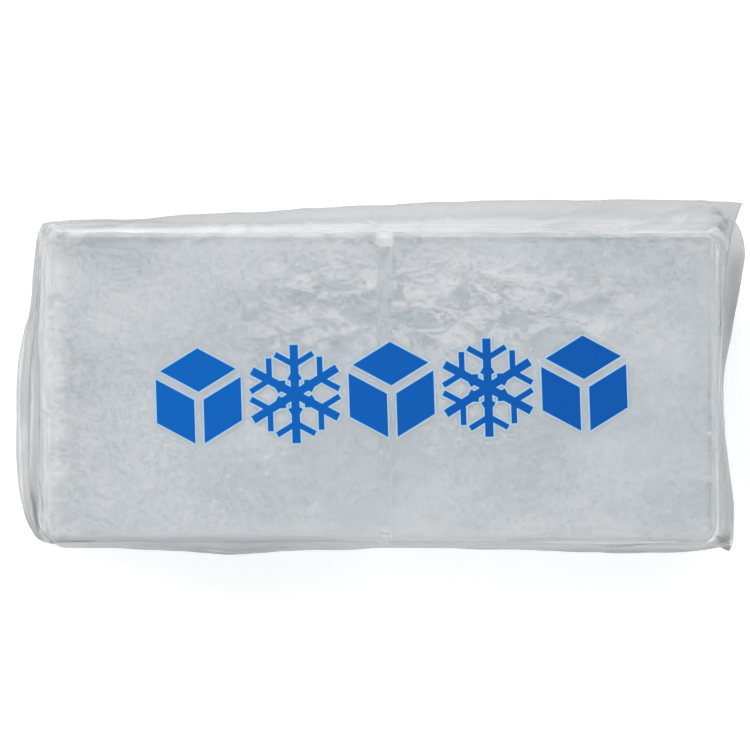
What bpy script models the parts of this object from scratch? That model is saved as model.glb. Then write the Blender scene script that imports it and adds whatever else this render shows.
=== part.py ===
"""Block of clear ice sealed in a loose film bag, lying flat as it does on a table.

Two pieces. ice_block is one moulded slab with rounded edges and a split groove round its middle.
bag is the thin film round it: it lies flat under the block and over it, stands off the far side in a
long soft fold, and ends in a flat sealed fin on the left, a fin that hangs down on the right, and
small ears at three corners. Metres, +Z up, origin at the middle of the flat underside.
"""
import math

import bmesh
import bpy
import numpy as np

MM = 0.001

# The ice.
ICE_LENGTH = 260 * MM
ICE_DEPTH = 120 * MM
ICE_HEIGHT = 60 * MM
ICE_CORNER = 5.5 * MM  # radius of the four upright edges
ICE_EDGE = 3 * MM  # radius of the edges round the top and the underside
GROOVE_X = 1.5 * MM  # the split groove is a little off the middle
GROOVE_WIDTH = 5 * MM
GROOVE_LEAN = 0.5 * MM  # how far each wall of the groove leans in at its bottom
GROOVE_SIDE_DEPTH = 4.3 * MM  # in the far long side
GROOVE_NEAR_DEPTH = 1.2 * MM  # in the near long side, where the block has melted smooth
GROOVE_FACE_DEPTH = 0.6 * MM  # across the top and the underside

# The film.
FILM = 0.5 * MM
CLEARANCE = 0.3 * MM  # between the film and the ice
FIN_MIDDLE = 30 * MM  # height of the end fins' mid-plane
EAR_MIDDLE = 48 * MM  # height of the far corners' ears
FIN_THICKNESS = 2.8 * MM
FIN_STEP = 0.5 * MM  # height over which the film turns out into a fin
VENT_HALF_WIDTH = 5 * MM  # the stretch of the left fin that is left unsealed

# How far the film stands off the block, in mm, at places along each side, in mm.
FAR_FOLD = ((-130, 4.0), (80, 12.6), (115, 12.2), (130, 11.8))
NEAR_FOLD = ((-130, 0.0), (-95, 0.4), (-60, 2.2), (-28, 0.7), (0, 0.1), (60, 0.5), (95, 1.8), (130, 0.6))
LEFT_FIN = ((-60, 3.0), (-52, 7.0), (-44, 10.2), (-8, 12.0), (14, 10.8), (24, 8.2), (30, 5.6), (50, 4.8), (60, 3.0))
RIGHT_FOLD = ((-60, 5.6), (-46, 5.6), (-2, 2.0), (20, 2.4), (60, 5.0))
RIGHT_FLAP = ((8, 0.0), (20, 4.6), (46, 9.2), (54, 10.2), (60, 9.4))

# The share of that stand-off at each height, in mm, of the film's total height of 61.6 mm.
FAR_RISE = ((0, 0), (10, 0.03), (28, 0.1), (38, 0.3), (44, 0.66), (48, 1), (50, 1), (53, 0.88), (57, 0.6), (60, 0.28),
            (61.6, 0))
NEAR_RISE = ((0, 0), (4, 0.5), (14, 1), (30, 0.7), (50, 0.15), (61.6, 0))
LEFT_RISE = ((0, 0), (7, 0.14), (17, 0.32), (28, 0.58), (32, 0.58), (46, 0.34), (55, 0.2), (61.6, 0))
RIGHT_RISE = ((0, 0), (8, 0.5), (22, 0.95), (39, 1), (52, 0.75), (58, 0.35), (61.6, 0))

# Corner ears: where the tip is, how far along the side the ear starts, and its height.
EARS = (
    ((138.8, 71.2), 17, EAR_MIDDLE),
    ((-131.0, 64.4), 12, EAR_MIDDLE),
    ((136.9, -60.9), 12, FIN_MIDDLE),
)

# How finely the film is divided.
LONG_STEPS = 18
SHORT_STEPS = 12
CORNER_STEPS = 4
EDGE_STEPS = 3


def smooth(x):
    """Smooth step: 0 up to 0, 1 from 1, and an S-curve between."""
    x = np.clip(x, 0, 1)
    return x * x * (3 - 2 * x)


def material(name, colour, roughness, alpha=1.0, transmission=0.0):
    """Principled material with the piece's colour."""
    made = bpy.data.materials.new(name)
    made.use_nodes = True
    shader = made.node_tree.nodes["Principled BSDF"]
    shader.inputs["Base Color"].default_value = (*colour, 1)
    shader.inputs["Roughness"].default_value = roughness
    shader.inputs["Metallic"].default_value = 0
    shader.inputs["Alpha"].default_value = alpha
    shader.inputs["Transmission Weight"].default_value = transmission
    made.diffuse_color = (*colour, alpha)
    return made


def place(obj, collection):
    """Move an object from the scene's own collection to the named one."""
    for held in list(obj.users_collection):
        held.objects.unlink(obj)
    collection.objects.link(obj)
    return obj


def box(name, size, centre, collection):
    """A cube primitive of the given size, with its scale applied."""
    bpy.ops.mesh.primitive_cube_add(size=1, location=centre, scale=size)
    bpy.ops.object.transform_apply(location=False, rotation=False, scale=True)
    obj = bpy.context.object
    obj.name = obj.data.name = name
    return place(obj, collection)


def groove_cutter(name, along, depth, reach, length, centre, collection):
    """Wedge that cuts the groove in one face: along is 1 for Y or 2 for Z, reach is that face's place."""
    outward = math.copysign(1, reach)
    margin = ICE_EDGE
    size = [GROOVE_WIDTH, length, length]
    size[along] = depth + margin
    where = list(centre)
    where[along] += reach - outward * (depth - margin) / 2
    cutter = box(name, size, where, collection)
    slope = GROOVE_LEAN / depth
    for vertex in cutter.data.vertices:
        below_face = depth if vertex.co[along] * outward < 0 else -margin
        vertex.co.x -= math.copysign(slope * below_face, vertex.co.x)
    cutter.hide_render = True
    cutter.display_type = "WIRE"
    return cutter


def make_ice_block(parts, cutters):
    """The block: a box with rounded upright edges, then rounded rims, less the split groove."""
    centre = (0, 0, FILM + CLEARANCE + ICE_HEIGHT / 2)
    block = box("ice_block", (ICE_LENGTH, ICE_DEPTH, ICE_HEIGHT), centre, parts)
    mesh = bmesh.new()
    mesh.from_mesh(block.data)
    upright = [e for e in mesh.edges if abs(e.verts[0].co.z - e.verts[1].co.z) > ICE_HEIGHT / 2]
    bmesh.ops.bevel(mesh, geom=upright, offset=ICE_CORNER, segments=5, profile=0.5, affect="EDGES")
    mesh.to_mesh(block.data)
    mesh.free()

    rims = block.modifiers.new("round rims", "BEVEL")
    rims.width = ICE_EDGE
    rims.segments = 4
    rims.limit_method = "ANGLE"
    rims.angle_limit = math.radians(40)

    groove_centre = (GROOVE_X, 0, centre[2])
    faces = (
        ("groove_far", 1, GROOVE_SIDE_DEPTH, ICE_DEPTH / 2),
        ("groove_near", 1, GROOVE_NEAR_DEPTH, -ICE_DEPTH / 2),
        ("groove_top", 2, GROOVE_FACE_DEPTH, ICE_HEIGHT / 2),
        ("groove_under", 2, GROOVE_FACE_DEPTH, -ICE_HEIGHT / 2),
    )
    for name, along, depth, reach in faces:
        cutter = groove_cutter(name, along, depth, reach, ICE_DEPTH + ICE_HEIGHT, groove_centre, cutters)
        cut = block.modifiers.new(name, "BOOLEAN")
        cut.operation = "DIFFERENCE"
        cut.solver = "EXACT"
        cut.object = cutter
    block.data.materials.append(material("clear ice", (0.80, 0.88, 0.92), 0.12, 0.6, 0.9))
    block.data.shade_smooth()
    block.data.set_sharp_from_angle(angle=math.radians(35))
    return block


def plan_outline():
    """Points and outward directions round the film's plan, a rounded rectangle, anticlockwise from above.

    Each side is divided evenly and each corner is a quarter circle."""
    radius = ICE_CORNER + CLEARANCE + FILM
    half_x = ICE_LENGTH / 2 + CLEARANCE + FILM - radius
    half_y = ICE_DEPTH / 2 + CLEARANCE + FILM - radius
    points, outward = [], []
    corners = ((half_x, -half_y, -90), (half_x, half_y, 0), (-half_x, half_y, 90), (-half_x, -half_y, 180))
    side_steps = (SHORT_STEPS, LONG_STEPS, SHORT_STEPS, LONG_STEPS)
    for number, (x, y, start) in enumerate(corners):
        turn = np.radians(start + 90 * np.arange(CORNER_STEPS + 1) / CORNER_STEPS)
        arc = np.column_stack((np.cos(turn), np.sin(turn)))
        ring = arc * radius + (x, y)
        next_x, next_y, _ = corners[(number + 1) % 4]
        share = (np.arange(1, side_steps[number]) / side_steps[number])[:, None]
        end = np.array((next_x, next_y)) + arc[-1] * radius
        points += [ring, ring[-1] + share * (end - ring[-1])]
        outward += [arc, np.repeat(arc[-1:], len(share), axis=0)]
    return np.vstack(points), np.vstack(outward)


def at(place_mm, table):
    """Read a table of (place, value) pairs, both in mm, and give metres."""
    places, values = zip(*table)
    return np.interp(place_mm, places, values) * MM


def share(height, table):
    """Read a table of (height in mm, share) pairs."""
    heights, shares = zip(*table)
    return np.interp(height / MM, heights, shares)


def fin_share(height, middle):
    """1 within the fin's thickness, 0 beyond the step where the film turns out into it."""
    beyond = np.abs(height - middle) - FIN_THICKNESS / 2
    return float(np.clip(1 - beyond / FIN_STEP, 0, 1))


def stand_off(points, outward, height):
    """How far the film stands off the block at one height: the folds, the fins and the ears."""
    x, y = points.T / MM
    far, near = np.clip(outward[:, 1], 0, 1) ** 2, np.clip(-outward[:, 1], 0, 1) ** 2
    right, left = np.clip(outward[:, 0], 0, 1) ** 2, np.clip(-outward[:, 0], 0, 1) ** 2
    fin = fin_share(height, FIN_MIDDLE)
    loose = far * at(x, FAR_FOLD) * share(height, FAR_RISE) + near * at(x, NEAR_FOLD) * share(height, NEAR_RISE)
    loose += left * at(y, LEFT_FIN) * max(share(height, LEFT_RISE), fin)
    right_fold = at(y, RIGHT_FOLD) * share(height, RIGHT_RISE)
    loose += right * np.maximum(right_fold, fin * at(y, RIGHT_FLAP))
    moved = points + outward * loose[:, None]
    for tip, reach, middle in EARS:
        tip = np.array(tip) * MM
        root = points[np.argmin(np.hypot(*(points - tip).T))]
        distance = np.hypot(*(points - root).T)
        pull = smooth(1 - distance / (reach * MM))[:, None]
        rise = max(fin_share(height, middle), 0.45 * math.exp(-(((height - middle) / (12 * MM)) ** 2)))
        moved += pull * rise * (tip - moved)
    return moved


def film_loops():
    """The film as closed loops from the middle of the underside, up the sides, to the middle of the top."""
    points, outward = plan_outline()
    edge = ICE_EDGE + CLEARANCE + FILM
    top = ICE_HEIGHT + 2 * (CLEARANCE + FILM)
    turn = np.radians(90 * np.arange(EDGE_STEPS + 1) / EDGE_STEPS)
    heights = list(edge * (1 - np.cos(turn)))
    insets = list(edge * (1 - np.sin(turn)))
    half_fin = FIN_THICKNESS / 2
    sides = [17 * MM, 24 * MM]
    for middle in (FIN_MIDDLE, EAR_MIDDLE):
        sides += [middle - half_fin - FIN_STEP, middle - half_fin, middle + half_fin, middle + half_fin + FIN_STEP]
    sides.insert(6, 39 * MM)
    heights += sides + [top - z for z in reversed(heights)]
    insets += [0] * len(sides) + insets[::-1]

    middle_line = ICE_LENGTH / 2 - ICE_DEPTH / 2
    middle = np.column_stack((np.clip(points[:, 0], -middle_line, middle_line), 0 * points[:, 1]))
    loops = [np.column_stack((middle, 0 * middle[:, 0]))]
    for height, inset in zip(heights, insets):
        flat = height < 1e-9 or height > top - 1e-9
        outline = points if flat else stand_off(points, outward, height)
        plan = outline - outward * inset
        loops.append(np.column_stack((plan, np.full(len(plan), height))))
    loops.append(np.column_stack((middle, np.full(len(middle), top))))
    return loops


def make_bag(parts):
    """The film: a loft through its loops, open only at the vent, with its wall turned inwards."""
    loops = film_loops()
    mesh = bmesh.new()
    rings = [[mesh.verts.new(point) for point in loop] for loop in loops]
    count = len(rings[0])
    for lower, upper in zip(rings, rings[1:]):
        for a in range(count):
            b = (a + 1) % count
            corner = lower[a].co
            in_fin = abs(corner.z - (FIN_MIDDLE - FIN_THICKNESS / 2)) < FIN_STEP / 4
            at_left = corner.x < -ICE_LENGTH / 2 and abs(corner.y) < ICE_DEPTH / 2
            middle_y = (corner.y + lower[b].co.y) / 2
            if in_fin and at_left and abs(middle_y) < VENT_HALF_WIDTH:
                continue
            mesh.faces.new((lower[a], lower[b], upper[b], upper[a]))
    bmesh.ops.remove_doubles(mesh, verts=mesh.verts, dist=0.00001)
    bmesh.ops.dissolve_degenerate(mesh, edges=mesh.edges, dist=0.00001)
    data = bpy.data.meshes.new("bag")
    mesh.to_mesh(data)
    mesh.free()
    bag = bpy.data.objects.new("bag", data)
    parts.objects.link(bag)
    wall = bag.modifiers.new("film", "SOLIDIFY")
    wall.thickness = FILM
    wall.offset = -1
    data.materials.append(material("clear film", (0.90, 0.93, 0.95), 0.25, 0.35))
    data.shade_smooth()
    data.set_sharp_from_angle(angle=math.radians(35))
    return bag


def main():
    for obj in list(bpy.data.objects):
        bpy.data.objects.remove(obj, do_unlink=True)
    parts = bpy.data.collections.new("bagged_ice_block")
    cutters = bpy.data.collections.new("cutters")
    for collection in (parts, cutters):
        bpy.context.scene.collection.children.link(collection)
    make_ice_block(parts, cutters)
    make_bag(parts)


main()
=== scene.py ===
"""A block of clear ice sealed in a creased, printed film bag, on a plain pale floor."""

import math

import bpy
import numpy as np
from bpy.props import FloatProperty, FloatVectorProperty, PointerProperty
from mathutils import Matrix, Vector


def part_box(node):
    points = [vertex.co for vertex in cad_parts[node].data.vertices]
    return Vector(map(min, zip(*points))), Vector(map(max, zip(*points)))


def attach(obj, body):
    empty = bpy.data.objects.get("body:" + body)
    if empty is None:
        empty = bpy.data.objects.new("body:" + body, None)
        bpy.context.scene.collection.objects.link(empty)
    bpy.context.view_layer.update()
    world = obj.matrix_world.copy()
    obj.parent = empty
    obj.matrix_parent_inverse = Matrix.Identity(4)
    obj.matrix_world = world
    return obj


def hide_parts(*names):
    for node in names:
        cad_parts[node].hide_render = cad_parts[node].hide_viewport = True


bl_info = {
    "name": "Bagged Ice Block",
    "version": (1, 0, 0),
    "blender": (4, 5, 0),
    "location": "View3D > Sidebar > Ice Block",
    "description": "Builds a block of clear ice in a creased film bag, and a plain studio round it",
    "category": "Object",
}

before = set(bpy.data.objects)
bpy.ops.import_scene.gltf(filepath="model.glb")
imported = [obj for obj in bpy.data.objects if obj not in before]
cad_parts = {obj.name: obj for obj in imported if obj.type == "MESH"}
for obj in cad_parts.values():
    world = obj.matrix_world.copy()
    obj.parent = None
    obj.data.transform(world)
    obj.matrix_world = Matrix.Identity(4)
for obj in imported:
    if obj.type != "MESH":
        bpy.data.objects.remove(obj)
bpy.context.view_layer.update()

MM = 0.001
ICE_LOW, ICE_HIGH = (np.array(corner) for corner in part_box("ice_block"))
ICE_MIDDLE = (ICE_LOW + ICE_HIGH) / 2
ICE_HALF = (ICE_HIGH - ICE_LOW) / 2
FILM_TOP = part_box("bag")[1][2]

# The block of ice.
ICE_CORNER = 5.5 * MM  # radius of the upright edges
ICE_EDGE = 3 * MM  # radius of the edges round the top and the underside
GROOVE_X = 1.5 * MM  # the split groove is a little off the middle
GROOVE_WIDTH = 5 * MM
GROOVE_LEAN = 0.5 * MM  # how far each wall of the groove leans in
ICE_IOR = 1.31
ICE_TINT, ICE_DENSITY = (0.56, 0.68, 0.76), 4  # what clear ice lets through, and how fast it takes the rest

# Sizes of the frost's patterns.
CLOUD = 50 * MM
WISP = 6.5 * MM
GRAIN = 1.6 * MM
SPARK_PITCH = 7 * MM

# The film bag.
FILM_OFF_ICE = 0.45 * MM  # how far the film lies off the ice where it is tight
FILM_LIFT = 0.08 * MM  # the underside lies this far off the floor
FIN_MIDDLE = 30 * MM  # height of the end fins' mid-plane
EAR_MIDDLE = 48 * MM  # height of the far corners' ears
FILM_SHOWS = 0.8 * MM  # off the ice by this much, the film begins to look loose
FILM_LOOSE = 4.3 * MM  # and by this much it looks wholly loose
FILM_GLOSS = 0.26  # roughness of its gloss
GLOSS_STRAIGHT, GLOSS_EDGE = 0.05, 0.50  # share of its gloss seen straight on, and what is added edge on
FILM_THROUGH = 0.55  # share of the light on its haze that goes through

# The print, a row of ice cubes and snowflakes. Widths are halves, from the middle line out.
PRINT_TURN = math.radians(-1.9)
PRINT_SHIFT = (-4.0 * MM, 2.2 * MM, 0)
PRINT_LEVEL = 40 * MM  # only film above this is printed
CUBE_GAP = 1.3 * MM  # between a cube's faces
ARM = 2.1 * MM  # a snowflake's arm
TWIG = 1.6 * MM
TWIGS = ((0.28, 0.16), (0.58, 0.46))  # where twigs leave the arm and how long they are, as shares of it

# How far the film stands off the block, in mm, at places along each side, in mm.
FAR_FOLD = ((-130, 4.0), (80, 12.6), (115, 12.2), (130, 11.8))
NEAR_FOLD = (
    (-130, 0.0), (-95, 0.5), (-60, 2.8), (-28, 1.2), (0, 0.4), (45, 0.8), (85, 2.5), (110, 2.2), (130, 1.2))
LEFT_FIN = (
    (-60, 1.8), (-52, 6.8), (-44, 9.4), (-8, 12.0), (14, 10.8), (24, 8.6), (30, 6.8), (36, 5.9), (44, 5.5),
    (54, 4.9), (60, 5.2))
RIGHT_FOLD = ((-60, 5.6), (-46, 5.6), (-2, 2.0), (20, 2.4), (60, 5.0))
RIGHT_FLAP = ((-60, 8.4), (-46, 7.8), (-2, 4.0), (8, 4.4), (20, 6.4), (46, 11.2), (54, 12.2), (60, 11.0))

# How far the right end's fin hangs down, and the left one's, in mm.
RIGHT_DROOP = ((-60, 9.0), (0, 12.0), (20, 9.0), (50, 5.0), (60, 3.0))
LEFT_DROOP = 2.2

# The share of that stand-off at each height, in mm.
FAR_RISE = (
    (0, 0), (10, 0.03), (28, 0.1), (38, 0.3), (44, 0.66), (48, 1), (50, 1), (53, 0.88), (57, 0.6),
    (60, 0.28), (61.6, 0))
NEAR_RISE = ((0, 0), (4, 0.5), (14, 1), (30, 0.7), (50, 0.15), (61.6, 0))
LEFT_RISE = ((0, 0), (7, 0.14), (17, 0.32), (28, 0.58), (32, 0.58), (46, 0.34), (55, 0.2), (61.6, 0))
RIGHT_RISE = ((0, 0), (8, 0.5), (22, 0.95), (39, 1), (52, 0.75), (58, 0.35), (61.6, 0))

# Corner ears: the tip in plan, its reach along the side and its height.
EARS = (
    ((140.8, 72.4), 19, EAR_MIDDLE),
    ((-130.4, 64.2), 11, EAR_MIDDLE),
    ((-134.6, 62.0), 9, FIN_MIDDLE),
    ((136.9, -60.9), 13, FIN_MIDDLE),
)

# Creases of the film. Each has the points it passes in plan, in mm, the heights it lies between, how far it
# stands up (a valley is below 0), its width, and the painted light it carries: a painted highlight along it
# (up to 1), or painted shade in it (down to -1). One that stands up 0 is only a patch of painted shade.
WALL, RIM, TOP, FIN = (34, 60), (50, 62), (57, 62), (16, 46)
CREASES = (
    # the ear over the far left corner, and the folds that fan out from it
    (((-128.9, 62.7), (-125.8, 60.8), (-122.4, 59.0)), TOP, 0.5, 1.3, 1.0),
    (((-129.4, 62.6), (-130.4, 60.2), (-131.4, 56.2), (-132.4, 47.6), (-132.9, 38.8), (-133.1, 21.4)),
     WALL, -0.4, 0.9, -0.6),
    (((-133.0, 24.0), (-132.7, 2.1), (-132.4, -17.2), (-132.5, -34.5)), WALL, -0.3, 0.9, -0.6),
    (((-128.6, 61.4), (-127.2, 54.2), (-127.7, 44.6), (-128.1, 34.9), (-128.9, 26.0)), TOP, 0.3, 3.0, 0.50),
    (((-125.6, 58.8), (-122.6, 55.6), (-121.6, 50.0)), TOP, 0.3, 1.4, 0.35),
    # the fin along the left end
    (((-136.7, 31.6), (-139.4, 19.8), (-140.6, 8.0), (-141.3, -3.7), (-141.0, -19.3), (-140.2, -34.9),
      (-139.4, -42.7), (-137.5, -49.3), (-134.7, -54.4)), FIN, 0.3, 0.9, 1.0),
    (((-135.5, 13.0), (-134.9, -3.7), (-135.9, -19.3), (-136.7, -31.0), (-136.7, -44.0)),
     FIN, 0.4, 1.1, 0.7),
    (((-137.9, 17.0), (-138.2, -3.7), (-137.9, -23.2), (-137.1, -38.8), (-135.5, -48.0)),
     FIN, -0.3, 1.0, -0.20),
    # the left end of the top
    (((-131.2, -7.9), (-127.7, -10.2), (-124.6, -11.6)), RIM, 0.5, 1.3, 1.0),
    (((-127.7, 6.0), (-127.3, -2.0), (-126.9, -12.0)), TOP, 0.2, 3.6, 0.30),
    (((-127.3, -13.3), (-127.1, -24.0), (-126.9, -34.0)), TOP, 0.2, 2.8, 0.25),
    (((-127.4, -34.0), (-124.6, -46.1), (-122.6, -56.0)), TOP, 0.2, 6.5, 0.35),
    # the near left corner
    (((-136.2, -41.0), (-135.0, -50.4), (-132.4, -54.4), (-128.5, -59.2), (-124.0, -61.2)),
     WALL, -0.7, 1.5, -0.9),
    (((-134.9, -43.6), (-133.6, -50.1), (-131.5, -53.6), (-127.6, -58.0)), RIM, 0.5, 0.9, 0.9),
    (((-133.3, -34.3), (-131.0, -43.9), (-130.0, -50.6)), RIM, -0.4, 1.0, -0.6),
    (((-129.0, -49.4), (-127.7, -52.7), (-126.5, -58.0)), TOP, 0.5, 1.0, 1.0),
    (((-124.2, -58.4), (-119.2, -55.4)), TOP, 0.5, 1.2, 1.0),
    (((-128.0, -59.8), (-118.6, -60.2), (-108.0, -60.4)), WALL, -0.4, 1.2, -0.7),
    # the near side
    # a broad patch of painted shade over the left half of the near side, with no crease in it
    (((-128.0, -60.6), (-86.0, -61.6), (-45.0, -61.6), (-5.0, -60.4)), (-20, 64), 0.0, 5.0, -0.40),
    (((-73.0, -61.8), (-59.3, -62.6), (-45.0, -61.8)), (5, 26), 0.2, 0.8, 0.6),
    (((48.0, -59.9), (88.5, -59.9), (123.0, -59.9)), (55, 62), 0.4, 1.1, 0.8),
    (((58.0, -61.2), (90.0, -61.4), (122.0, -61.2)), (40, 56), -0.3, 0.8, -0.6),
    (((100.0, -57.6), (106.0, -59.4)), TOP, 0.3, 0.9, 0.5),
    (((108.0, -56.6), (112.0, -59.0)), TOP, 0.3, 0.9, 0.4),
    # the long fold on the far side
    (((-124.0, 62.4), (-106.0, 63.8), (-82.0, 65.2)), (40, 57), -0.3, 1.4, -0.4),
    (((-122.0, 61.0), (-98.0, 61.3), (-68.0, 61.2)), TOP, 0.1, 2.4, 0.15),
    (((-68.6, 64.0), (-60.8, 61.2)), (44, 62), 0.3, 0.9, 0.6),
    (((-61.8, 60.4), (-54.6, 63.6)), (44, 62), 0.3, 0.9, 0.6),
    (((-48.0, 64.0), (-52.6, 58.6)), (44, 62), 0.3, 0.9, 0.5),
    (((-26.0, 66.4), (-30.0, 61.0)), (44, 62), 0.3, 1.2, 0.4),
    (((-4.4, 67.6), (-2.0, 61.0)), (44, 62), 0.4, 1.5, 0.35),
    (((12.8, 65.0), (16.4, 61.0)), (44, 62), 0.3, 1.6, 0.2),
    (((27.9, 69.6), (25.2, 63.4)), (44, 62), 0.3, 1.3, 0.25),
    (((60.0, 61.4), (72.0, 66.4), (86.0, 70.6), (108.0, 72.0)), (44, 62), 0.4, 2.6, 0.35),
    (((96.0, 61.6), (110.0, 66.0), (122.0, 70.6)), (44, 62), 0.5, 2.2, 0.35),
    # the ear over the far right corner and the ridge that runs down from it
    (((126.6, 70.6), (129.9, 68.6), (131.6, 66.4), (135.0, 61.6)), (40, 60), -0.5, 0.9, -0.6),
    (((117.0, 62.6), (119.4, 68.7), (125.0, 71.6)), (44, 61), 0.5, 1.5, 0.4),
    (((126.0, 69.2), (123.4, 70.4)), (44, 61), 0.4, 1.4, 0.6),
    (((139.8, 70.0), (137.4, 64.0), (133.9, 60.4), (132.2, 54.6), (131.2, 48.0), (131.1, 33.3),
      (131.5, 12.0)), RIM, 0.5, 1.1, 0.45),
    (((138.4, 65.6), (136.7, 60.7), (135.4, 55.4), (133.6, 49.8), (132.7, 44.0), (133.0, 30.4),
      (134.0, 18.7), (134.6, 11.0)), (34, 54), -0.6, 1.0, -0.9),
    (((134.2, 57.0), (133.6, 52.0)), (40, 58), 0.4, 1.4, 0.5),
    # a broad patch of painted shade on the right end's hanging fin, with no crease in it
    (((140.0, 56.0), (139.0, 40.0), (136.0, 20.0)), FIN, 0.0, 5.0, -0.30),
    # the right end
    (((131.6, 14.0), (131.9, -6.0), (132.6, -24.0), (133.6, -40.0), (134.6, -55.0)), RIM, 0.1, 2.0, 0.10),
    (((134.8, -30.0), (136.6, -45.2), (137.0, -58.6)), (28, 48), -0.4, 1.0, -0.5),
    (((128.6, -57.6), (133.4, -60.8)), RIM, -0.5, 1.2, -0.6),
    (((135.0, -58.8), (138.0, -61.6)), WALL, 0.5, 0.9, 0.9),
)


# ---------------------------------------------------------------- settings


class IceSettings(bpy.types.PropertyGroup):
    side_groove: FloatProperty(
        name="Far groove", description="Depth of the split groove in the far long side",
        default=4.3 * MM, min=0, unit="LENGTH")
    near_groove: FloatProperty(
        name="Near groove", description="Depth of the split groove in the near long side",
        default=1.2 * MM, min=0, unit="LENGTH")
    face_groove: FloatProperty(
        name="Face groove", description="Depth of the split groove across the top and the underside",
        default=0.6 * MM, min=0, unit="LENGTH")
    melt: FloatProperty(
        name="Melt", description="Height of the gentle waves that melting leaves on the faces",
        default=0.35 * MM, min=0, unit="LENGTH")
    clear_colour: FloatVectorProperty(
        name="Clear ice", description="Colour of light that passes the clear ice's skin",
        default=(0.815, 0.85, 0.868), subtype="COLOR", min=0, max=1)
    frost_colour: FloatVectorProperty(
        name="Frost", description="Colour of the white frost and trapped air",
        default=(0.96, 0.965, 0.97), subtype="COLOR", min=0, max=1)


class FilmSettings(bpy.types.PropertyGroup):
    crease: FloatProperty(
        name="Crease", description="Height of the film's creases, as a share of the drawn ones",
        default=1.0, min=0, max=2, subtype="FACTOR")
    haze: FloatProperty(
        name="Haze", description="How milky one layer of the film is",
        default=0.05, min=0, max=1, subtype="FACTOR")
    loose_haze: FloatProperty(
        name="Loose haze", description="How much milkier the film is where it stands off the ice",
        default=0.45, min=0, max=1, subtype="FACTOR")
    edge_haze: FloatProperty(
        name="Edge haze", description="How much milkier the film is where it is seen edge on",
        default=0.50, min=0, max=1, subtype="FACTOR")
    # The near long side's film carries painted shade: its haze is made thicker here and is painted dark by
    # the colour below.
    near_haze: FloatProperty(
        name="Near haze", description="How much milkier still it is so on the near long side",
        default=0.45, min=0, max=1, subtype="FACTOR")
    fold_haze: FloatProperty(
        name="Fold haze", description="How much milkier the film is along a crease",
        default=0.60, min=0, max=1, subtype="FACTOR")
    colour: FloatVectorProperty(
        name="Film", description="Colour of the film's haze",
        default=(0.62, 0.625, 0.635), subtype="COLOR", min=0, max=1)
    # painted shade: upright film gets a darker haze than flat film
    upright_painted_shade_colour: FloatVectorProperty(
        name="Film, upright", description="Colour of the film's haze where the film stands upright",
        default=(0.34, 0.345, 0.36), subtype="COLOR", min=0, max=1)
    # painted shade: the haze on the near long side is painted dark, as if that side were in shade from the
    # softbox
    near_painted_shade_colour: FloatVectorProperty(
        name="Film, near side", description="Colour of the haze on the near long side, wet with melt",
        default=(0.12, 0.13, 0.145), subtype="COLOR", min=0, max=1)
    # painted highlight: the haze along a crease marked above 0 is painted near white
    crease_painted_highlight_colour: FloatVectorProperty(
        name="Film fold", description="Colour of the haze along a fold that is stressed white",
        default=(0.96, 0.96, 0.965), subtype="COLOR", min=0, max=1)
    # painted shade: the haze along a crease marked below 0 is painted dark
    crease_painted_shade_colour: FloatVectorProperty(
        name="Film tuck", description="Colour of the haze where the film is folded under itself",
        default=(0.16, 0.175, 0.21), subtype="COLOR", min=0, max=1)


class PrintSettings(bpy.types.PropertyGroup):
    left_ink: FloatVectorProperty(
        name="Ink, left", description="Colour of the ink at the left end of the print",
        default=(0.0, 0.138, 0.57), subtype="COLOR", min=0, max=1)
    right_ink: FloatVectorProperty(
        name="Ink, right", description="Colour of the ink at the right end of the print",
        default=(0.0, 0.108, 0.48), subtype="COLOR", min=0, max=1)
    keyline_ink: FloatVectorProperty(
        name="Keyline", description="Colour of the thin pale line round each figure",
        default=(0.47, 0.71, 0.91), subtype="COLOR", min=0, max=1)
    figure: FloatProperty(
        name="Figure", description="Height of each printed figure",
        default=39 * MM, min=5 * MM, unit="LENGTH")
    pitch: FloatProperty(
        name="Pitch", description="Distance from one printed figure to the next",
        default=37.2 * MM, min=5 * MM, unit="LENGTH")
    keyline: FloatProperty(
        name="Keyline width", description="Width of the pale line round each figure",
        default=0.5 * MM, min=0, unit="LENGTH")


class StudioSettings(bpy.types.PropertyGroup):
    camera_distance: FloatProperty(
        name="Camera distance", description="From the camera to the top of the bag",
        default=2.5, min=0.5, unit="LENGTH")
    camera_height: FloatProperty(
        name="Camera elevation", description="Angle of the view above the horizon",
        default=math.radians(86.3), subtype="ANGLE")
    sky: FloatProperty(name="Sky", description="Strength of the even light all round", default=0.85, min=0)
    horizon: FloatProperty(name="Horizon", description="Strength of the sky low down", default=0.3, min=0)
    ceiling: FloatProperty(
        name="Ceiling", description="Strength of the sky straight overhead, where the camera stands",
        default=0.3, min=0)
    glow: FloatProperty(name="Glow", description="Light the table gives off by itself", default=0.45, min=0)
    softbox: FloatProperty(
        name="Softbox", description="Power of the large lamp beyond the far side, in watts",
        default=3.6, min=0)
    side_light: FloatProperty(
        name="Side light", description="Power of the narrow lamp at the left end, in watts",
        default=1.5, min=0)


# ---------------------------------------------------------------- shapes


def smooth(x):
    """Smooth step: 0 up to 0, 1 from 1, and an S-curve between."""
    x = np.clip(x, 0, 1)
    return x * x * (3 - 2 * x)


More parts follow.
